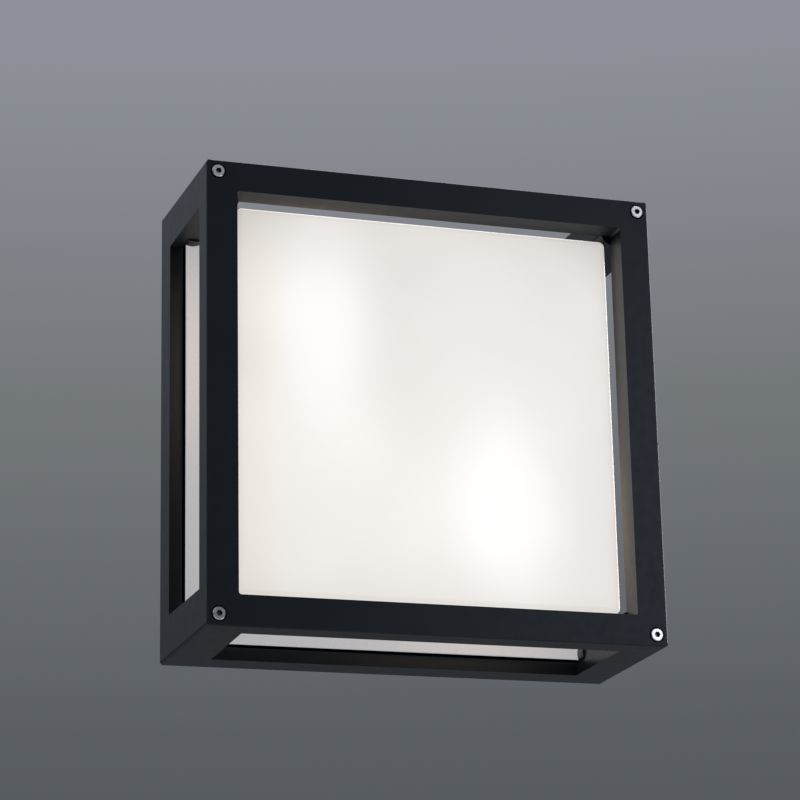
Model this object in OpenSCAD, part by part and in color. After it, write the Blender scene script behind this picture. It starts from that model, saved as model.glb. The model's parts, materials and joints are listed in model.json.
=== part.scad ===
// Square cage wall lantern with an opal box diffuser and two screw-in lamps.
// Frame: +Z up, origin at the centre of the wall face, the lantern stands out along -Y.
// Every "depth" below is a distance from the wall plane, so depth d lies at y = -d.

/* [Cage] */
// outer width and height at the wall
body_w = 260; // [256:1:264]
// depth from the wall to the front face
body_d = 100; // [98:1:104]
// how much narrower the front face is than the wall side (casting draft)
draft = 2.6; // [1:0.2:3]
// width of the four bars round the front opening
bar_w = 17.1; // [16:0.1:19]
// depth of those bars
bar_d = 15.7; // [14:0.1:15.7]
// depth from the wall at which the side windows begin
ring_d = 20; // [19.5:0.5:21]
// width and height of the side windows
window_w = 212.6; // [208:0.2:214]
// radius of the corner posts' inner corner
post_r = 8; // [7.8:0.1:9]
// radius of the outer corner edges
corner_r = 2; // [1.5:0.1:2.5]
// break of the front edges
edge_break = 0.6; // [0.3:0.1:1]

/* [Diffuser] */
// outer width and height of the opal box
opal_w = 216.5; // [214:0.5:217]
// depth from the wall to the opal front face
opal_front = 86; // [85:0.5:88]
// wall thickness of the opal box
opal_t = 3; // [2.5:0.1:3]
// radius of the opal box's outer edges
opal_r = 3.5; // [3.1:0.1:4]
// outer width and height of the mounting flange
flange_w = 243; // [241:0.5:244]
// thickness of the mounting flange
flange_t = 2.5; // [2:0.1:2.5]
// depth from the wall to the flange's front face
flange_front = 26; // [25.9:0.1:26]

/* [Base] */
// width and height of the base floor
base_w = 252; // [250:0.5:252]
// thickness of the base floor
base_t = 3; // [2.5:0.1:3]
// outer width and height of the base rim
rim_w = 239; // [238:0.5:239]
// thickness of the rim
rim_t = 4; // [3:0.5:4]
// spacing of the wall screw holes, across and up
wall_hole_pitch = 150; // [148:1:152]
// diameter of the wall screw holes
wall_hole_d = 5.5; // [4.5:0.5:6]
// height of the cable entry above the centre
entry_z = 60; // [58:1:64]
// bore of the cable grommet
entry_bore = 8.4; // [7:0.2:9]

/* [Lamps] */
// distance of each lamp axis from the centre line
lamp_x = 55; // [53:1:57]
// depth from the wall to the lamp axes
lamp_d = 49; // [49:0.5:51]
// height of the left holder's foot (the right one is turned half round)
holder_z = -27; // [-29:1:-26]
// diameter of the glass globe
globe_w = 60; // [57:1:60]
// length of a lamp from centre contact to tip
lamp_l = 105; // [104:1:107]

/* [Cage screws] */
// distance of the screw axes from the centre lines
screw_pos = 122.2; // [122:0.1:122.2]
// thread diameter
screw_w = 4; // [4:0.1:4]
// head diameter
screw_head_w = 7; // [6.8:0.1:7.2]
// head height
screw_head_l = 4; // [3.5:0.1:4]
// how far the heads stand out of the front face
screw_proud = 0.8; // [0.4:0.1:1.2]

/* [Hidden] */

$fn = 48;
eps = 0.01;
running = 0.05;                    // radial clearance of a thread stand-in
front_w = body_w - draft;          // width of the front face
opening_w = front_w - 2*bar_w;     // width of the front opening
wall_gap = 0.5;                    // gap between the cage and the wall
side_gap = 0.5;                    // gap between the base floor and the cage
ledge_d = 16;                      // depth at which the ring's ledge begins
ledge_w = flange_w + 2;            // width inside the ledge
cavity_w = base_w + 2*side_gap;    // width inside the ring behind the ledge

// spring clips behind the corner posts
clip_t = 0.7;
clip_w = 8;
clip_hook = 1.2;                   // hook that lies on the flange
clip_foot = 4.4;
clip_screw_r = 1.25;
clip_head_r = 1.9;
clip_head_l = 1.4;
clip_thread_l = 2.8;
clip_slot = [0.6, 0.7, 4];         // across, deep, long
clip_hole_d = ledge_d + clip_thread_l + 0.2;
clip_leg_x = ledge_w/2 - 0.9;
clip_screw_x = ledge_w/2 + 2;
clip_z = 111.2;

// cage screws
seat_d = body_d + screw_proud - screw_head_l;  // depth of the face under a head
washer_t = 0.5;
bore_gap = 0.8;                    // dark ring that shows round a head
boss_r = 3.9;                      // base bosses that take the cage screws
boss_d = 20;
sleeve_r = 5.2;                    // cage sleeves that meet those bosses
sleeve_gap = 0.4;
pad_r = 9;                         // clamp pads at the wall ends of the corner posts
pad_d = 34;
pad_out = 1.2;                     // how far a pad stands into the window
pad_gap = 1.5;                     // gap between a pad and the opal box
screw_end_d = 8;                   // depth reached by the screw points

// compartment behind the gear tray
rim_d = flange_front - flange_t - 2.1;  // depth of the rim's front edge
gasket_t = 2;
tray_d = ledge_d;                  // depth of the tray's back face
tray_t = 1;
tray_w = 200;
tray_fold = 5;
standoff_pos = 90;
m3_r = 1.5;
m3_head_r = 2.9;
m3_head_l = 1.9;

// terminal block and its leads
block = [30, 11, 16];              // across, out from the wall, up
lug = [7, 3, 8];                   // ears of the block, one at each end
lug_screw_x = 18.2;
pole_pitch = 9;
wire_r = 1.1;
wire_d = base_t + block.y/2 - 1;   // depth at which the leads leave the block
earth_pos = [38, -16];
clamp_z = 36;

// lamp holder, measured up from its foot
holder_h = 42;
holder_r = 19;
socket_z = 13;                     // floor of the socket
socket_r = 14.3;
shell_in_r = 13.6;
contact_h = 2;
lamp_z = socket_z + contact_h + 0.1;  // underside of a lamp's centre contact
cap_r = 13.2;
cap_l = 26;
lead_hole_x = 6;
drop_z = -30;                      // where the leads come through the tray

// ---------- shared shapes ----------

// Extrudes a flat outline, drawn in x and z, from depth d0 to depth d1.
module slab(d0, d1) {
    translate([0, -d0, 0])
        rotate([90, 0, 0])
            linear_extrude(d1 - d0)
                children();
}

// A round bar or hole square to the wall, from depth d0 to depth d1.
module bar(pos, r, d0, d1) {
    translate([pos[0], -d0, pos[1]])
        rotate([90, 0, 0])
            cylinder(r = r, h = d1 - d0);
}

module rounded_square(w, r) {
    square([w, w - 2*r], center = true);
    square([w - 2*r, w], center = true);
    for (sx = [-1, 1], sy = [-1, 1])
        translate([sx*(w/2 - r), sy*(w/2 - r)])
            circle(r);
}

module square_ring(w, t, r) {
    difference() {
        rounded_square(w, r);
        rounded_square(w - 2*t, max(r - t, 1));
    }
}

// The four corners of a square whose half width is p.
function corners(p) = [[-p, p], [p, p], [-p, -p], [p, -p]];

// Pan-head screw square to the wall: its head sits on depth d and its point is at d - l.
module pan_screw(pos, d, l, r, head_r, head_l) {
    difference() {
        union() {
            bar(pos, r, d - l, d + eps);
            bar(pos, head_r, d, d + head_l);
        }
        translate([pos[0], -d - head_l/2, pos[1]])
            for (a = [0, 90])
                rotate([0, a, 0])
                    translate([-head_r*0.65, -head_l, -0.3])
                        cube([head_r*1.3, head_l, 0.6]);
    }
}

// An insulated wire through a list of points, round at each bend.
module wire(points, r) {
    for (i = [0 : len(points) - 2])
        hull()
            for (p = [points[i], points[i + 1]])
                translate(p)
                    sphere(r, $fn = 8);
}

// Places a shape drawn on a holder's foot: the left lamp stands up, the right one hangs down.
module at_left() {
    translate([-lamp_x, -lamp_d, holder_z])
        children();
}

module at_right() {
    rotate([0, 180, 0])
        at_left()
            children();
}

// ---------- cage ----------

module cage_blank() {
    face = body_d - edge_break;
    hull() {
        slab(wall_gap, wall_gap + eps) rounded_square(body_w, corner_r);
        slab(face - eps, face) rounded_square(front_w, corner_r);
        slab(body_d - eps, body_d) rounded_square(front_w - 2*edge_break, corner_r);
    }
}

// Everything between the corner posts, as seen from the front.
module window_plan() {
    reach = 2*body_w;
    half = window_w/2;
    square([window_w, reach], center = true);
    square([reach, window_w], center = true);
    for (a = [0 : 90 : 270])
        rotate(a)
            difference() {
                translate([half - eps, half - eps])
                    square(post_r + eps);
                translate([half + post_r, half + post_r])
                    circle(post_r);
            }
}

module sleeve_plan(r) {
    for (p = corners(screw_pos))
        translate(p)
            circle(r);
}

// Round pads that press on the diffuser's flange, two at each corner.
module pad_plan() {
    near = window_w/2 + pad_r - pad_out;
    far = opal_w/2 + pad_gap + pad_r;
    for (a = [0 : 90 : 270])
        rotate(a)
            for (p = [[near, far], [far, near]])
                translate(p)
                    circle(pad_r);
}

module cage() {
    color("#23272e")
        difference() {
            cage_blank();
            slab(body_d - bar_d - eps, body_d + 1) rounded_square(opening_w, 1.5);
            slab(ring_d, flange_front) window_plan();
            slab(flange_front - eps, pad_d)
                difference() {
                    window_plan();
                    pad_plan();
                }
            slab(pad_d - eps, body_d - bar_d) window_plan();
            slab(0, ledge_d) rounded_square(cavity_w, corner_r);
            slab(ledge_d - eps, boss_d + sleeve_gap) {
                rounded_square(ledge_w, corner_r);
                sleeve_plan(sleeve_r);
            }
            slab(boss_d + sleeve_gap - eps, flange_front)
                difference() {
                    rounded_square(ledge_w, corner_r);
                    sleeve_plan(sleeve_r);
                }
            for (p = corners(screw_pos)) {
                bar(p, screw_w/2 + 0.3, boss_d, body_d);
                bar(p, screw_head_w/2 + bore_gap, seat_d - washer_t, body_d + 1);
            }
            for (a = [0 : 90 : 270])
                rotate([0, a, 0])
                    bar([clip_screw_x, clip_z], clip_screw_r + running, ledge_d - 1, clip_hole_d);
        }
}

module screw_washers() {
    color("#1c1c1e")
        for (p = corners(screw_pos))
            difference() {
                bar(p, screw_head_w/2, seat_d - washer_t, seat_d);
                bar(p, screw_w/2 + 0.3, seat_d - 1, seat_d + 1);
            }
}

// Socket-head cap screw; its point is at screw_end_d and its head stands proud of the cage.
module cage_screw(p) {
    head = seat_d + screw_head_l;
    chamfer = 0.4;
    color("#d9dbdd")
        translate([p[0], 0, p[1]])
            rotate([90, 0, 0])
                difference() {
                    rotate_extrude()
                        polygon([
                            [0, screw_end_d],
                            [screw_w/2 - 0.5, screw_end_d],
                            [screw_w/2, screw_end_d + 0.5],
                            [screw_w/2, seat_d],
                            [screw_head_w/2, seat_d],
                            [screw_head_w/2, head - chamfer],
                            [screw_head_w/2 - chamfer, head],
                            [0, head]
                        ]);
                    translate([0, 0, head - 2.2])
                        cylinder(d = 3.46, h = 3, $fn = 6);
                }
}

module screw_top_left() { cage_screw(corners(screw_pos)[0]); }
module screw_top_right() { cage_screw(corners(screw_pos)[1]); }
module screw_bottom_left() { cage_screw(corners(screw_pos)[2]); }
module screw_bottom_right() { cage_screw(corners(screw_pos)[3]); }

// ---------- diffuser ----------

// Box with rounded front edges, from depth d0 to depth d1.
module soft_box(w, r, d0, d1) {
    inset = w/2 - r;
    hull() {
        slab(d0, d0 + eps) rounded_square(w, r);
        for (p = corners(inset))
            translate([p[0], r - d1, p[1]])
                rotate([90, 0, 0])
                    sphere(r, $fn = 32);
    }
}

module diffuser() {
    flange_back = flange_front - flange_t;
    color("#f4f1ea")
        difference() {
            union() {
                soft_box(opal_w, opal_r, flange_back, opal_front);
                slab(flange_back, flange_front)
                    difference() {
                        rounded_square(flange_w, 3);
                        sleeve_plan(sleeve_r + 0.6);
                    }
            }
            soft_box(opal_w - 2*opal_t, max(opal_r - opal_t, 0.5), flange_back - 1, opal_front - opal_t);
        }
}

// Spring clip that holds the diffuser's flange against a post; its place is behind that post.
module clip() {
    flange_back = flange_front - flange_t;
    low = clip_z - clip_w/2;
    translate([clip_leg_x, -flange_back + eps, low])
        cube([clip_t, flange_back - ledge_d + clip_t - eps, clip_w]);
    translate([clip_leg_x - clip_hook, -flange_back, low])
        cube([clip_hook + clip_t, clip_t, clip_w]);
    difference() {
        translate([clip_leg_x, -ledge_d, low])
            cube([clip_foot, clip_t, clip_w]);
        bar([clip_screw_x, clip_z], clip_screw_r + running, ledge_d - 1, ledge_d + 1);
    }
}

module diffuser_clips() {
    color("#b9bcc0")
        for (a = [0 : 90 : 270])
            rotate([0, a, 0])
                clip();
}

// Screws that hold the clips; their heads face the wall.
module clip_screws() {
    head_d = ledge_d - clip_t;
    color("#d0d2d4")
        for (a = [0 : 90 : 270])
            rotate([0, a, 0])
                difference() {
                    union() {
                        bar([clip_screw_x, clip_z], clip_screw_r, head_d - eps, ledge_d + clip_thread_l);
                        bar([clip_screw_x, clip_z], clip_head_r, head_d - clip_head_l, head_d);
                    }
                    translate([clip_screw_x - clip_slot.x/2, clip_slot.y - head_d, clip_z - clip_slot.z/2])
                        cube([clip_slot.x, 1, clip_slot.z]);
                }
}

// ---------- base ----------

module base() {
    color("#2b2e33")
        difference() {
            union() {
                slab(0, base_t) rounded_square(base_w, 3);
                slab(base_t - eps, rim_d) square_ring(rim_w, rim_t, 6);
                for (p = corners(screw_pos))
                    bar(p, boss_r, base_t - eps, boss_d);
                for (a = [0 : 90 : 270])
                    rotate([0, a, 0])
                        translate([screw_pos - 7, -boss_d, screw_pos - 7])
                            cube([7, boss_d - base_t + eps, 7]);
                for (p = corners(standoff_pos))
                    bar(p, 4, base_t - eps, tray_d);
                for (sx = [-1, 1])
                    bar([sx*11, clamp_z], 3.5, base_t - eps, base_t + 4);
                bar(earth_pos, 4.5, base_t - eps, base_t + 4);
            }
            slab(-eps, 1.5) square_ring(242, 3, 4);
            for (p = corners(screw_pos))
                bar(p, screw_w/2 + running, 6, boss_d + 1);
            for (p = corners(standoff_pos))
                bar(p, m3_r + running, 6, tray_d + 1);
            for (p = corners(wall_hole_pitch/2))
                bar(p, wall_hole_d/2, -1, base_t + 1);
            for (sx = [-1, 1])
                bar([sx*11, clamp_z], m3_r + running, 2, base_t + 5);
            bar(earth_pos, 2 + running, 2, base_t + 5);
            bar([0, entry_z], 10, -1, base_t + 1);
            for (sx = [-1, 1])
                bar([sx*lug_screw_x, 0], m3_r + running, 0.8, base_t + 1);
        }
}

// Soft seal in a groove of the base's back, flush with the wall plane.
module wall_seal() {
    color("#3a3a3c")
        slab(0, 1.4) square_ring(241.8, 2.8, 3.9);
}

module diffuser_gasket() {
    color("#55575a")
        slab(rim_d, rim_d + gasket_t) square_ring(rim_w - 0.6, rim_t - 0.6, 5.7);
}

module gear_tray() {
    color("#f2f2ef")
        difference() {
            union() {
                slab(tray_d, tray_d + tray_t) rounded_square(tray_w, 3);
                slab(tray_d - tray_fold, tray_d + eps) square_ring(tray_w, tray_t, 3);
            }
            for (p = corners(standoff_pos))
                bar(p, m3_r + running, tray_d - 1, tray_d + 2);
            for (p = corners(wall_hole_pitch/2))
                bar(p, 6, tray_d - 1, tray_d + 2);
            for (turn = [0, 180])
                rotate([0, turn, 0])
                    translate([-lamp_x, 0, holder_z]) {
                        for (sx = [-1, 1])
                            bar([sx*9, -13], m3_r + running, tray_d - 1, tray_d + 2);
                        bar([0, drop_z], 6, tray_d - 1, tray_d + 2);
                    }
        }
}

// The M3 pan-head screws: four hold the tray, four the brackets and two the terminal block.
module m3_screws() {
    color("#cfd1d3") {
        for (p = corners(standoff_pos))
            pan_screw(p, tray_d + tray_t, 9, m3_r, m3_head_r, m3_head_l);
        for (turn = [0, 180])
            rotate([0, turn, 0])
                translate([-lamp_x, 0, holder_z])
                    for (sx = [-1, 1])
                        pan_screw([sx*9, -13], tray_d + tray_t + 2, 6, m3_r, m3_head_r, m3_head_l);
        for (sx = [-1, 1])
            pan_screw([sx*lug_screw_x, 0], base_t + lug.y, 5, m3_r, m3_head_r, m3_head_l);
    }
}

// ---------- cable entry and terminals ----------

module cable_grommet() {
    color("#1d1d1f")
        difference() {
            union() {
                bar([0, entry_z], 9.9, 0.2, base_t + eps);
                bar([0, entry_z], 12.5, base_t, base_t + 2);
            }
            bar([0, entry_z], entry_bore/2, -1, base_t + 3);
        }
}

module cord_clamp() {
    top = base_t + 4;
    color("#e9e7e0")
        difference() {
            translate([-15, -top - 4.5, clamp_z - 4])
                cube([30, 4.5, 8]);
            translate([0, -top, clamp_z - 5])
                cylinder(r = 3.4, h = 10);
            for (sx = [-1, 1])
                bar([sx*11, clamp_z], m3_r + running, top - 1, top + 5);
        }
}

module clamp_screws() {
    top = base_t + 4;
    color("#cfd1d3")
        for (sx = [-1, 1])
            pan_screw([sx*11, clamp_z], top + 4.5, 9, m3_r, m3_head_r, m3_head_l);
}

module terminal_block() {
    color("#f0eee6")
        difference() {
            union() {
                translate([-block.x/2, -base_t - block.y, -block.z/2])
                    cube(block);
                translate([-block.x/2 - lug.x, -base_t - lug.y, -lug.z/2])
                    cube([block.x + 2*lug.x, lug.y, lug.z]);
            }
            for (i = [-1 : 1]) {
                translate([i*pole_pitch, -wire_d, -block.z])
                    cylinder(r = 2.6, h = 2*block.z);
                for (sz = [-1, 1])
                    bar([i*pole_pitch, sz*4.5], 2.3, wire_d, base_t + block.y + 1);
            }
            for (sx = [-1, 1])
                bar([sx*lug_screw_x, 0], m3_r + running, base_t - 1, base_t + lug.y + 1);
        }
}

// Brass tubes that join the conductors inside the terminal block.
module terminal_tubes() {
    color("#c9a04a")
        for (i = [-1 : 1])
            difference() {
                translate([i*pole_pitch, -wire_d, -block.z/2 + 1])
                    cylinder(r = 2.5, h = block.z - 2);
                translate([i*pole_pitch, -wire_d, -block.z])
                    cylinder(r = 1.5, h = 2*block.z);
                for (sz = [-1, 1])
                    bar([i*pole_pitch, sz*4.5], 1.3, wire_d, base_t + block.y);
            }
}

module terminal_screws() {
    top = base_t + block.y - 0.5;
    color("#d6b25e")
        for (i = [-1 : 1], sz = [-1, 1])
            difference() {
                union() {
                    bar([i*pole_pitch, sz*4.5], 1.25, wire_d + 1.6, top);
                    bar([i*pole_pitch, sz*4.5], 2, top - 2.5, top);
                }
                translate([i*pole_pitch - 2.5, -top - 0.1, sz*4.5 - 0.3])
                    cube([5, 0.9, 0.6]);
            }
}

module earth_washer() {
    top = base_t + 4;
    color("#c9cbcd")
        difference() {
            bar(earth_pos, 4.3, top, top + 0.8);
            bar(earth_pos, 2.1, top - 1, top + 2);
        }
}

module earth_screw() {
    color("#c8a24c")
        pan_screw(earth_pos, base_t + 4.8 + 2*wire_r, 8, 2, 3.8, 2.4);
}

// ---------- lamp holders ----------

module bracket() {
    t = 2;
    foot = lamp_d - tray_d - tray_t;  // distance from the lamp axis back to the tray
    reach = 16;
    difference() {
        union() {
            translate([-15, -reach, -t])
                cube([30, reach + foot, t]);
            translate([-15, foot - t, -20])
                cube([30, t, 20]);
        }
        for (sx = [-1, 1]) {
            translate([sx*9, foot + 1, -13])
                rotate([90, 0, 0])
                    cylinder(r = m3_r + running, h = t + 2);
            translate([sx*lead_hole_x, 0, -t - 1])
                cylinder(r = 2.4, h = t + 2);
        }
        for (sy = [-1, 1])
            translate([0, sy*11, -t - 1])
                cylinder(r = m3_r + running, h = t + 2);
    }
}

module bracket_left() { color("#c4c7ca") at_left() bracket(); }
module bracket_right() { color("#c4c7ca") at_right() bracket(); }

module holder() {
    difference() {
        rotate_extrude()
            polygon([
                [0, 0],
                [holder_r - 1, 0],
                [holder_r, 1],
                [holder_r, holder_h*0.55],
                [holder_r - 1.5, holder_h*0.6],
                [holder_r - 1.5, holder_h - 1],
                [holder_r - 2.5, holder_h],
                [0, holder_h]
            ]);
        translate([0, 0, socket_z])
            cylinder(r = socket_r, h = holder_h);
        for (sx = [-1, 1])
            translate([sx*lead_hole_x, 0, -1])
                cylinder(r = 1.5, h = 8);
        for (sy = [-1, 1])
            translate([0, sy*11, -1])
                cylinder(r = m3_r + running, h = 9);
    }
}

module holder_left() { color("#f3f1ea") at_left() holder(); }
module holder_right() { color("#f3f1ea") at_right() holder(); }

// Metal screw shell; its thread is drawn as rolled rings.
module shell() {
    pitch = 3.6;
    outer_r = socket_r - 0.1;
    rotate_extrude()
        polygon(concat(
            [[outer_r, 0], [outer_r, cap_l]],
            [for (i = [7 : -1 : 1]) each [
                [shell_in_r, i*pitch],
                [outer_r - 0.3, (i - 0.5)*pitch]
            ]],
            [[shell_in_r, 0]]
        ));
}

module shell_left() { color("#c9b27a") at_left() translate([0, 0, socket_z + 1]) shell(); }
module shell_right() { color("#c9b27a") at_right() translate([0, 0, socket_z + 1]) shell(); }

// Sprung tongue under the lamp's centre contact.
module holder_contact() {
    translate([0, 0, socket_z])
        cylinder(r = 5, h = 0.8);
    translate([0, 0, socket_z + 0.8 - eps])
        cylinder(r1 = 4, r2 = 3, h = contact_h - 0.8 + eps);
}

module contact_left() { color("#d0a64e") at_left() holder_contact(); }
module contact_right() { color("#d0a64e") at_right() holder_contact(); }

module holder_screw_pair() {
    for (sy = [-1, 1])
        translate([0, sy*11, 0])
            difference() {
                union() {
                    translate([0, 0, -2 - eps])
                        cylinder(r = m3_r, h = 8);
                    translate([0, 0, -2 - m3_head_l])
                        cylinder(r = m3_head_r, h = m3_head_l);
                }
                translate([-2, -0.3, -2 - m3_head_l - eps])
                    cube([4, 0.6, 1]);
            }
}

module holder_screws() {
    color("#cfd1d3") {
        at_left() holder_screw_pair();
        at_right() holder_screw_pair();
    }
}

// ---------- leads ----------

// Points of one lead drawn from its holder down through the tray, relative to the holder's foot.
function drop_points(side) = [
    [side*lead_hole_x, 0, 6],
    [side*lead_hole_x, 0, -8],
    [side*2, lamp_d - tray_d - 9, drop_z],
    [side*2, lamp_d - wire_d, drop_z]
];

// The same points in the part's frame, turned half round for the right lamp.
function left_drop(side) = [for (p = drop_points(side)) p + [-lamp_x, -lamp_d, holder_z]];
function right_drop(side) = [for (p = left_drop(side)) [-p.x, p.y, -p.z]];

// From a lamp's drop behind the tray, level with turn_z across to a pole and into the block.
module block_lead(drop, pole_x, turn_z, end_z) {
    wire(concat(drop, [
        [drop[3].x, -wire_d, turn_z],
        [pole_x, -wire_d, turn_z],
        [pole_x, -wire_d, end_z]
    ]), wire_r);
}

// One pole's two leads: the left lamp's enters the block from below, the right lamp's from above.
module pole_leads(pole_x, side, below, above) {
    edge = block.z/2;
    block_lead(left_drop(side), pole_x, -edge - below, 3 - edge);
    block_lead(right_drop(-side), pole_x, edge + above, edge - 3);
}

module live_leads() {
    color("#6b4226")
        pole_leads(-pole_pitch, -1, 7, 12);
}

module neutral_leads() {
    color("#3c62a8")
        pole_leads(0, 1, 12, 6);
}

module earth_lead() {
    color("#7fa63a")
        wire([
            [pole_pitch, -wire_d, -block.z/2 + 3],
            [pole_pitch, -wire_d, earth_pos[1]],
            [earth_pos[0] - 12, -wire_d, earth_pos[1]],
            [earth_pos[0] - 6, -(base_t + 4.8 + wire_r), earth_pos[1]],
            [earth_pos[0] - 3.4, -(base_t + 4.8 + wire_r), earth_pos[1]]
        ], wire_r);
}

module lead_bushes() {
    color("#1d1d1f")
        for (turn = [0, 180])
            rotate([0, turn, 0])
                translate([-lamp_x, 0, holder_z])
                    difference() {
                        union() {
                            bar([0, drop_z], 5.9, tray_d - 1, tray_d + tray_t + 1);
                            bar([0, drop_z], 7.5, tray_d + tray_t, tray_d + tray_t + 1.2);
                        }
                        bar([0, drop_z], 4.2, tray_d - 2, tray_d + 4);
                    }
}

// ---------- lamps ----------

// Outline of the glass, inset by t: a round globe on a tapering neck.
module glass_outline(t) {
    r = globe_w/2;
    tip = lamp_l;
    neck_r = 12;
    neck_z = cap_l - 1;
    blend_z = tip - r*1.62;
    translate([0, tip - r])
        circle(r - t, $fn = 96);
    polygon([
        [0, neck_z - t],
        [neck_r - t, neck_z - t],
        [neck_r + 1.5 - t, neck_z + 8],
        [neck_r + 5.5 - t, neck_z + 18],
        [r*0.785 - t, blend_z],
        [0, blend_z]
    ]);
}

module globe() {
    translate([0, 0, lamp_z])
        rotate_extrude()
            difference() {
                intersection() {
                    glass_outline(0);
                    square([globe_w, 2*lamp_l]);
                }
                intersection() {
                    glass_outline(0.9);
                    square([globe_w, 2*lamp_l]);
                }
            }
}

module globe_left() { color("#fff6e2") at_left() globe(); }
module globe_right() { color("#fff6e2") at_right() globe(); }

// Screw cap with its thread drawn as rolled rings.
module lamp_cap() {
    pitch = 3.6;
    first_z = 2.4;
    translate([0, 0, lamp_z])
        rotate_extrude()
            polygon(concat(
                [[7, 1.2], [11, first_z]],
                [for (i = [0 : 5]) each [
                    [cap_r - 0.9, first_z + i*pitch],
                    [cap_r, first_z + (i + 0.5)*pitch]
                ]],
                [
                    [cap_r - 0.9, first_z + 6*pitch],
                    [cap_r - 0.3, cap_l],
                    [12.3, cap_l],
                    [12.3, cap_l - 3],
                    [11.8, cap_l - 3],
                    [11.8, 3.6],
                    [7, 3]
                ]
            ));
}

module cap_left() { color("#c7c9cc") at_left() lamp_cap(); }
module cap_right() { color("#c7c9cc") at_right() lamp_cap(); }

// Black glass between the cap and the centre contact.
module insulator() {
    translate([0, 0, lamp_z])
        rotate_extrude()
            polygon([[3.6, 0.5], [4.5, 0.5], [6.95, 1.2], [6.95, 3], [3.6, 3]]);
}

module insulator_left() { color("#222222") at_left() insulator(); }
module insulator_right() { color("#222222") at_right() insulator(); }

module eyelet() {
    translate([0, 0, lamp_z]) {
        cylinder(r = 3.5, h = 3);
        translate([0, 0, 0])
            cylinder(r1 = 3.2, r2 = 4.2, h = 0.45);
    }
}

module eyelet_left() { color("#c9a657") at_left() eyelet(); }
module eyelet_right() { color("#c9a657") at_right() eyelet(); }

// ---------- draw ----------

cage();
diffuser();
diffuser_clips();
clip_screws();
screw_washers();
base();
wall_seal();
diffuser_gasket();
gear_tray();
m3_screws();
cable_grommet();
cord_clamp();
clamp_screws();
terminal_block();
terminal_tubes();
terminal_screws();
earth_washer();
earth_screw();
bracket_left();
bracket_right();
holder_left();
holder_right();
shell_left();
shell_right();
contact_left();
contact_right();
holder_screws();
live_leads();
neutral_leads();
earth_lead();
lead_bushes();
globe_left();
globe_right();
cap_left();
cap_right();
insulator_left();
insulator_right();
eyelet_left();
eyelet_right();
screw_top_left();
screw_top_right();
screw_bottom_left();
screw_bottom_right();
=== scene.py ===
"""Square cage wall lantern with an opal box diffuser, lit from inside by two lamps."""
import json
import math

import bpy
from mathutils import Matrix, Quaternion, Vector


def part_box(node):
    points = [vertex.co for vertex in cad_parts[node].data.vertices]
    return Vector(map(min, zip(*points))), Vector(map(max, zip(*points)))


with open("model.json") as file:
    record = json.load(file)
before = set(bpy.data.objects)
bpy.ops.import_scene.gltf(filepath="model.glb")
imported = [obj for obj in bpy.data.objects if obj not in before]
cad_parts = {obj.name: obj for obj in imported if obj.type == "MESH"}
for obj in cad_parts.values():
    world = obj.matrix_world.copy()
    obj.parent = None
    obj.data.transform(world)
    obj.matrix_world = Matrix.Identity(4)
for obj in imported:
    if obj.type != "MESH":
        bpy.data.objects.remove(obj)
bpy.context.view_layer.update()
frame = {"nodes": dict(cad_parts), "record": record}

# ---------- camera: from the left and below, rolled a little ----------

CAMERA_PLACE = Vector((-0.4722, -1.4596, -0.4340))
CAMERA_AIM = Vector((-0.0050, -0.0500, 0.0160))
CAMERA_ROLL = math.radians(-1.23)
CAMERA_LENS = 124.96

# ---------- the lantern's own measures, in metres ----------

OPAL_FRONT_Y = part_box("diffuser")[0][1]
FLANGE_FRONT_Y = -0.027                          # just in front of the diffuser's flange
GLOBE_LOW, GLOBE_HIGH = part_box("globe_left")
LAMP_GLOWS = ((-0.063, 0.044), (0.045, -0.052))  # middles of the two painted glows on the opal's front, across and up
HAZE = (-0.034, -0.042)                          # middle of the wide painted haze of light low on the left
SCREW_LOW, SCREW_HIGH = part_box("screw_top_right")
SCREW_AXIS = (SCREW_LOW[0] + SCREW_HIGH[0]) / 2
SCREW_FRONT_Y = SCREW_LOW[1]

# ---------- the opal's painted glow: its brightness and tints ---

# emission strengths and colours painted on the opal in place of the lamps' light shining through it
GROUND_LEVEL = 0.64
GLOW_LEVEL = 0.155
HAZE_LEVEL = 0.12
CORNER_SHADE = 0.12                               # how much painted shade darkens the upper corners of the painted glow
WALL_LEVEL = 0.07
WALL_GLOW_LEVEL = 2.2
FLANGE_LEVEL = 0.36
GROUND_TINT = (1.0, 0.955, 0.905)
GLOW_TINT = (1.0, 0.985, 0.955)
LEFT_EDGE_TINT = (1.0, 0.945, 0.86)
WALL_TINT = (1.0, 0.72, 0.42)
FLANGE_TINT = (1.0, 1.0, 1.04)

FLOOR_SIZE = 12
FLOOR_Z = -1.7


# ---------- node helpers ----------

def fill_ramp(color_ramp, stops):
    """Sets a colour ramp's stops, each a position and a colour."""
    while len(color_ramp.elements) < len(stops):
        color_ramp.elements.new(0.5)
    for element, (position, colour) in zip(color_ramp.elements, stops):
        element.position = position
        element.color = (*colour, 1.0)


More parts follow.
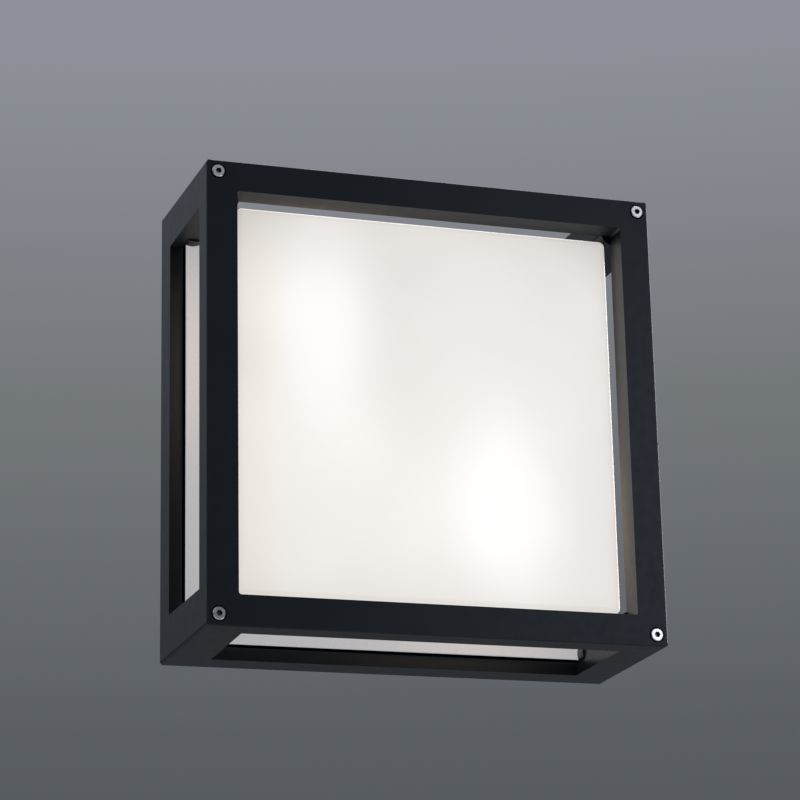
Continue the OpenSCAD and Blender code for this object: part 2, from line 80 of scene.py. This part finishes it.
class Shader:
    """A material's node tree with short calls for the nodes used here."""

    def __init__(self, name):
        self.material = bpy.data.materials.new(name)
        self.material.use_nodes = True
        self.tree = self.material.node_tree
        self.tree.nodes.clear()
        self.output = self.tree.nodes.new("ShaderNodeOutputMaterial")
        self.surface = self.tree.nodes.new("ShaderNodeBsdfPrincipled")
        self.link(self.surface.outputs[0], self.output.inputs["Surface"])
        self.place = self.tree.nodes.new("ShaderNodeTexCoord").outputs["Object"]

    def link(self, source, target):
        self.tree.links.new(source, target)

    def set(self, **values):
        for name, value in values.items():
            self.surface.inputs[name.replace("_", " ")].default_value = value

    def noise(self, scale, detail=3.0, stretch=(1, 1, 1)):
        mapping = self.tree.nodes.new("ShaderNodeMapping")
        mapping.inputs["Scale"].default_value = stretch
        self.link(self.place, mapping.inputs["Vector"])
        node = self.tree.nodes.new("ShaderNodeTexNoise")
        node.inputs["Scale"].default_value = scale
        node.inputs["Detail"].default_value = detail
        self.link(mapping.outputs["Vector"], node.inputs["Vector"])
        return node.outputs["Fac"]

    def ramp(self, factor, stops):
        node = self.tree.nodes.new("ShaderNodeValToRGB")
        fill_ramp(node.color_ramp, stops)
        self.link(factor, node.inputs["Fac"])
        return node.outputs["Color"]

    def math(self, operation, first, second=None):
        node = self.tree.nodes.new("ShaderNodeMath")
        node.operation = operation
        for socket, value in zip(node.inputs, (first, second)):
            if value is None:
                continue
            if isinstance(value, (int, float)):
                socket.default_value = value
            else:
                self.link(value, socket)
        return node.outputs[0]

    def remap(self, value, low, high, to_low, to_high):
        node = self.tree.nodes.new("ShaderNodeMapRange")
        node.interpolation_type = "SMOOTHSTEP"
        numbers = (low, high, to_low, to_high)
        for name, number in zip(("From Min", "From Max", "To Min", "To Max"), numbers):
            node.inputs[name].default_value = number
        self.link(value, node.inputs["Value"])
        return node.outputs[0]

    def mix(self, factor, first, second):
        node = self.tree.nodes.new("ShaderNodeMix")
        node.data_type = "RGBA"
        self.link(factor, node.inputs["Factor"])
        for socket, value in ((node.inputs[6], first), (node.inputs[7], second)):
            if isinstance(value, tuple):
                socket.default_value = (*value, 1.0)
            else:
                self.link(value, socket)
        return node.outputs[2]

    def blend(self, factor, first, second):
        """Plain number between first and second."""
        node = self.tree.nodes.new("ShaderNodeMix")
        self.link(factor, node.inputs["Factor"])
        for socket, value in ((node.inputs[2], first), (node.inputs[3], second)):
            if isinstance(value, float):
                socket.default_value = value
            else:
                self.link(value, socket)
        return node.outputs[0]

    def bump(self, height, strength, distance):
        node = self.tree.nodes.new("ShaderNodeBump")
        node.inputs["Strength"].default_value = strength
        node.inputs["Distance"].default_value = distance
        self.link(height, node.inputs["Height"])
        self.link(node.outputs["Normal"], self.surface.inputs["Normal"])

    def axes(self):
        node = self.tree.nodes.new("ShaderNodeSeparateXYZ")
        self.link(self.place, node.inputs[0])
        return node.outputs

    def facing(self):
        """Parts of the surface's own direction along the three axes."""
        node = self.tree.nodes.new("ShaderNodeSeparateXYZ")
        self.link(self.place.node.outputs["Normal"], node.inputs[0])
        return node.outputs

    def colour(self, source):
        self.link(source, self.surface.inputs["Base Color"])

    def roughness(self, source):
        self.link(source, self.surface.inputs["Roughness"])


# ---------- materials ----------

def powder_coat(name, dark, light, rough):
    """Satin powder coat: fine orange peel, faint mottling and a duller underside."""
    shader = Shader(name)
    mottle = shader.noise(45, 4)
    shader.colour(shader.ramp(mottle, [(0.3, dark), (0.7, light)]))
    gloss = shader.remap(shader.noise(160, 3), 0.3, 0.7, rough - 0.02, rough + 0.03)
    dullness = shader.remap(shader.facing()[2], -0.95, -0.6, 0.25, 0.0)
    shader.roughness(shader.math("ADD", gloss, dullness))
    shader.bump(shader.noise(900, 2), 0.06, 0.0003)
    shader.set(Specular_IOR_Level=0.42, Specular_Tint=(0.82, 0.92, 1.0, 1.0))
    return shader.material


def soft_spot(shader, x, z, middle, wide, tall, fall):
    """Soft oval: 1 at its middle, half as bright at the given half sizes."""
    across = shader.math("DIVIDE", shader.math("SUBTRACT", x, middle[0]), wide)
    upward = shader.math("DIVIDE", shader.math("SUBTRACT", z, middle[1]), tall)
    square = shader.math("ADD", shader.math("POWER", across, 2.0), shader.math("POWER", upward, 2.0))
    return shader.math("DIVIDE", 1.0, shader.math("ADD", 1.0, shader.math("POWER", square, fall)))


def lamp_glow(shader, x, z, wide, tall, fall):
    spots = [soft_spot(shader, x, z, middle, wide, tall, fall) for middle in LAMP_GLOWS]
    return shader.math("ADD", *spots)


def opal_front_level(shader, x, z, glow, cloud):
    """Painted glow on the front: an even ground, two glows, a haze, and painted shade darkening the
    upper corners.
    """
    haze = soft_spot(shader, x, z, HAZE, 0.095, 0.060, 1.5)
    drift = shader.remap(cloud, 0.3, 0.7, -0.02, 0.02)
    spread = shader.math("MULTIPLY", shader.math("ABSOLUTE", x), z)
    # painted shade: the glow is dimmed towards the upper corners
    corner_shade = shader.remap(spread, 0.0065, 0.0115, 0.0, CORNER_SHADE)
    ground = shader.math("ADD", GROUND_LEVEL, drift)
    level = shader.math("ADD", shader.math("MULTIPLY", glow, GLOW_LEVEL), ground)
    level = shader.math("ADD", level, shader.math("MULTIPLY", haze, HAZE_LEVEL))
    return shader.math("SUBTRACT", level, corner_shade)


def opal_front_tint(shader, x, glow):
    """Colour of the front's painted glow: whiter in the glows, warmer along the left edge."""
    tint = shader.mix(shader.remap(glow, 0.1, 0.9, 0.0, 1.0), GROUND_TINT, GLOW_TINT)
    left_edge = shader.remap(x, -0.100, -0.070, 1.0, 0.0)
    return shader.mix(left_edge, tint, LEFT_EDGE_TINT)


def opal_acrylic():
    """Opal acrylic with the light of the lamps behind it painted on as emission: soft upright
    painted glows in front, a warm painted glow on the sides, a pale painted glow on the flange,
    whose colour is painted darker as shade.
    """
    shader = Shader("opal_acrylic")
    x, y, z = shader.axes()
    glow = lamp_glow(shader, x, z, 0.030, 0.050, 2.0)
    near_lamp = lamp_glow(shader, x, z, 0.062, 0.062, 2.4)
    cloud = shader.noise(14, 1)
    is_wall = shader.remap(y, OPAL_FRONT_Y + 0.0015, OPAL_FRONT_Y + 0.006, 0.0, 1.0)
    is_flange = shader.remap(y, FLANGE_FRONT_Y - 0.016, FLANGE_FRONT_Y - 0.003, 0.0, 1.0)
    front = opal_front_level(shader, x, z, glow, cloud)
    # painted glow on the side walls, brightest near the lamps and warm in tint
    wall = shader.math("ADD", shader.math("MULTIPLY", near_lamp, WALL_GLOW_LEVEL), WALL_LEVEL)
    level = shader.blend(is_flange, shader.blend(is_wall, front, wall), FLANGE_LEVEL)
    tint = shader.mix(is_wall, opal_front_tint(shader, x, glow), WALL_TINT)
    tint = shader.mix(is_flange, tint, FLANGE_TINT)
    shader.link(tint, shader.surface.inputs["Emission Color"])
    shader.link(level, shader.surface.inputs["Emission Strength"])
    # painted shade: the flange's colour is darker than the rest of the opal
    milk = shader.ramp(cloud, [(0.3, (0.60, 0.585, 0.56)), (0.7, (0.64, 0.625, 0.60))])
    shader.colour(shader.mix(is_flange, milk, (0.32, 0.32, 0.32)))
    shader.roughness(shader.remap(shader.noise(220, 2), 0.3, 0.7, 0.26, 0.32))
    shader.bump(shader.noise(70, 2), 0.03, 0.0005)
    shader.set(IOR=1.49)
    return shader.material


def metal(name, tone, rough, scale, stretch=(1, 1, 1)):
    """Plain metal with fine machining or plating marks."""
    shader = Shader(name)
    marks = shader.noise(scale, 5, stretch)
    dark = tuple(0.86 * part for part in tone)
    shader.colour(shader.ramp(marks, [(0.3, dark), (0.7, tone)]))
    shader.roughness(shader.remap(marks, 0.3, 0.7, rough - 0.05, rough + 0.07))
    shader.bump(marks, 0.08, 0.0002)
    shader.set(Metallic=1.0)
    return shader.material


def socket_screw():
    """Bright cap screw whose hexagon socket is painted dark as shade, told from the head by radius
    and depth.
    """
    shader = Shader("bright_stainless")
    x, y, z = shader.axes()
    folded = [shader.math("ABSOLUTE", axis) for axis in (x, z)]
    offsets = [shader.math("SUBTRACT", axis, SCREW_AXIS) for axis in folded]
    squares = [shader.math("POWER", offset, 2.0) for offset in offsets]
    radius = shader.math("SQRT", shader.math("ADD", *squares))
    marks = shader.noise(900, 5)
    bright = shader.ramp(marks, [(0.3, (0.84, 0.85, 0.87)), (0.7, (0.95, 0.96, 0.98))])
    # painted shade: the socket inside the head is coloured near black, as the recess lies in shade
    inside = shader.remap(radius, 0.0018, 0.0021, 1.0, 0.0)
    sunk = shader.remap(y, SCREW_FRONT_Y + 0.0001, SCREW_FRONT_Y + 0.0004, 0.0, 1.0)
    shader.colour(shader.mix(shader.math("MULTIPLY", inside, sunk), bright, (0.12, 0.12, 0.13)))
    shader.roughness(shader.remap(marks, 0.3, 0.7, 0.10, 0.20))
    shader.bump(marks, 0.06, 0.0002)
    shader.set(Metallic=1.0)
    return shader.material


def moulded(name, tone, rough, grain=600, depth=0.1):
    """Moulded plastic, rubber or glazed clay, told apart by its gloss and grain."""
    shader = Shader(name)
    cloud = shader.noise(60, 3)
    dark = tuple(0.9 * part for part in tone)
    shader.colour(shader.ramp(cloud, [(0.3, dark), (0.7, tone)]))
    shader.roughness(shader.remap(cloud, 0.3, 0.7, rough - 0.04, rough + 0.04))
    shader.bump(shader.noise(grain, 2), depth, 0.0003)
    return shader.material


def lamp_glass():
    """Soft white lamp glass, brightest round its widest part."""
    shader = Shader("lamp_glass")
    z = shader.axes()[2]
    cloud = shader.noise(30, 2)
    height = shader.math("ABSOLUTE", z)
    level = shader.remap(height, abs(GLOBE_LOW[2]) * 0.8, GLOBE_HIGH[2] * 0.75, 0.45, 0.85)
    shader.link(shader.ramp(cloud, [(0.3, (1.0, 0.88, 0.70)), (0.7, (1.0, 0.92, 0.77))]),
                shader.surface.inputs["Emission Color"])
    shader.link(level, shader.surface.inputs["Emission Strength"])
    shader.colour(shader.ramp(cloud, [(0.3, (0.50, 0.48, 0.45)), (0.7, (0.55, 0.53, 0.50))]))
    shader.roughness(shader.remap(cloud, 0.3, 0.7, 0.16, 0.24))
    return shader.material


def make_materials():
    return {
        "black_coat": powder_coat(
            "black_powder_coat", (0.0050, 0.0066, 0.0098), (0.0078, 0.0098, 0.0140), 0.31),
        "white_coat": powder_coat(
            "white_reflector_coat", (0.74, 0.74, 0.72), (0.80, 0.80, 0.78), 0.30),
        "opal": opal_acrylic(),
        "lamp_glass": lamp_glass(),
        "stainless": socket_screw(),
        "steel": metal("zinc_plated_steel", (0.62, 0.63, 0.65), 0.32, 350),
        "brass": metal("brass", (0.78, 0.56, 0.25), 0.28, 500),
        "lamp_cap": metal("rolled_aluminium", (0.72, 0.73, 0.75), 0.30, 420, (1, 1, 6)),
        "porcelain": moulded("glazed_porcelain", (0.80, 0.79, 0.75), 0.12, 120, 0.04),
        "white_plastic": moulded("white_nylon", (0.76, 0.75, 0.71), 0.42),
        "seal": moulded("black_rubber", (0.022, 0.022, 0.024), 0.62, 900, 0.25),
        "black_glass": moulded("black_glass", (0.012, 0.012, 0.013), 0.14, 200, 0.05),
        "brown_wire": moulded("brown_insulation", (0.16, 0.065, 0.028), 0.38),
        "blue_wire": moulded("blue_insulation", (0.035, 0.11, 0.36), 0.38),
        "green_wire": moulded("green_insulation", (0.16, 0.34, 0.04), 0.38),
    }


def dress_nodes(materials):
    """Gives each CAD node the material of its slot in the record."""
    slots = {part["node"]: part["material_slot"] for part in frame["record"]["subparts"]}
    for name, piece in frame["nodes"].items():
        piece.data.materials.clear()
        piece.data.materials.append(materials[slots[name]])


def ease_edges(names, width):
    """Narrow bevels, so that cast and moulded edges catch the light."""
    for name in names:
        bevel = frame["nodes"][name].modifiers.new("eased_edges", "BEVEL")
        bevel.width = width
        bevel.segments = 2
        bevel.limit_method = "ANGLE"
        bevel.angle_limit = math.radians(50)


# ---------- surroundings ----------

def make_world():
    """Even grey studio, a little darker low down."""
    world = bpy.data.worlds.new("studio")
    bpy.context.scene.world = world
    world.use_nodes = True
    nodes = world.node_tree.nodes
    links = world.node_tree.links
    direction = nodes.new("ShaderNodeTexCoord")
    split = nodes.new("ShaderNodeSeparateXYZ")
    ramp = nodes.new("ShaderNodeValToRGB")
    links.new(direction.outputs["Generated"], split.inputs[0])
    links.new(split.outputs["Z"], ramp.inputs["Fac"])
    links.new(ramp.outputs["Color"], nodes["Background"].inputs["Color"])
    stops = (
        (0.00, (0.066, 0.073, 0.082)),
        (0.17, (0.102, 0.112, 0.125)),
        (0.29, (0.174, 0.188, 0.198)),
        (0.405, (0.267, 0.279, 0.314)),
    )
    fill_ramp(ramp.color_ramp, stops)


def make_floor():
    """Plain pale floor, as far below the lantern as a porch floor is below a wall light."""
    bpy.ops.mesh.primitive_plane_add(size=FLOOR_SIZE, location=(0, 0, FLOOR_Z))
    floor = bpy.context.object
    floor.name = "floor"
    shader = Shader("pale_floor")
    stops = [(0.3, (0.66, 0.66, 0.65)), (0.7, (0.72, 0.72, 0.71))]
    shader.colour(shader.ramp(shader.noise(3, 4), stops))
    shader.set(Roughness=0.8)
    floor.data.materials.append(shader.material)


def add_light(name, place, size, power, colour):
    data = bpy.data.lights.new(name, "AREA")
    data.shape = "SQUARE"
    data.size = size
    data.energy = power
    data.color = colour
    light = bpy.data.objects.new(name, data)
    light.location = place
    light.rotation_mode = "QUATERNION"
    light.rotation_quaternion = (-Vector(place)).to_track_quat("-Z", "Y")
    light.visible_camera = False
    bpy.context.collection.objects.link(light)


def make_lights():
    add_light("key_left", (-2.4, 0.8, 0.9), 1.6, 16, (0.86, 0.94, 1.08))
    add_light("fill_below", (1.4, -0.5, -1.4), 1.0, 1.2, (0.95, 0.98, 1.0))
    add_light("front_right", (1.1, -1.9, 0.45), 0.8, 2.2, (0.95, 0.95, 1.06))
    add_light("rim_top", (0.4, 0.9, 2.2), 1.4, 14, (0.98, 0.99, 1.0))
    add_light("back_right", (2.4, 1.7, 0.7), 1.6, 30, (0.98, 0.99, 1.0))


def make_camera():
    data = bpy.data.cameras.new("camera")
    data.lens = CAMERA_LENS
    data.sensor_width = 36
    camera = bpy.data.objects.new("camera", data)
    camera.location = CAMERA_PLACE
    camera.rotation_mode = "QUATERNION"
    level = (CAMERA_AIM - CAMERA_PLACE).to_track_quat("-Z", "Y")
    camera.rotation_quaternion = level @ Quaternion((0, 0, 1), CAMERA_ROLL)
    bpy.context.collection.objects.link(camera)
    bpy.context.scene.camera = camera


bpy.context.scene.view_settings.view_transform = "Standard"
make_camera()
make_world()
make_floor()
make_lights()
dress_nodes(make_materials())
ease_edges(["cage"], 0.0004)
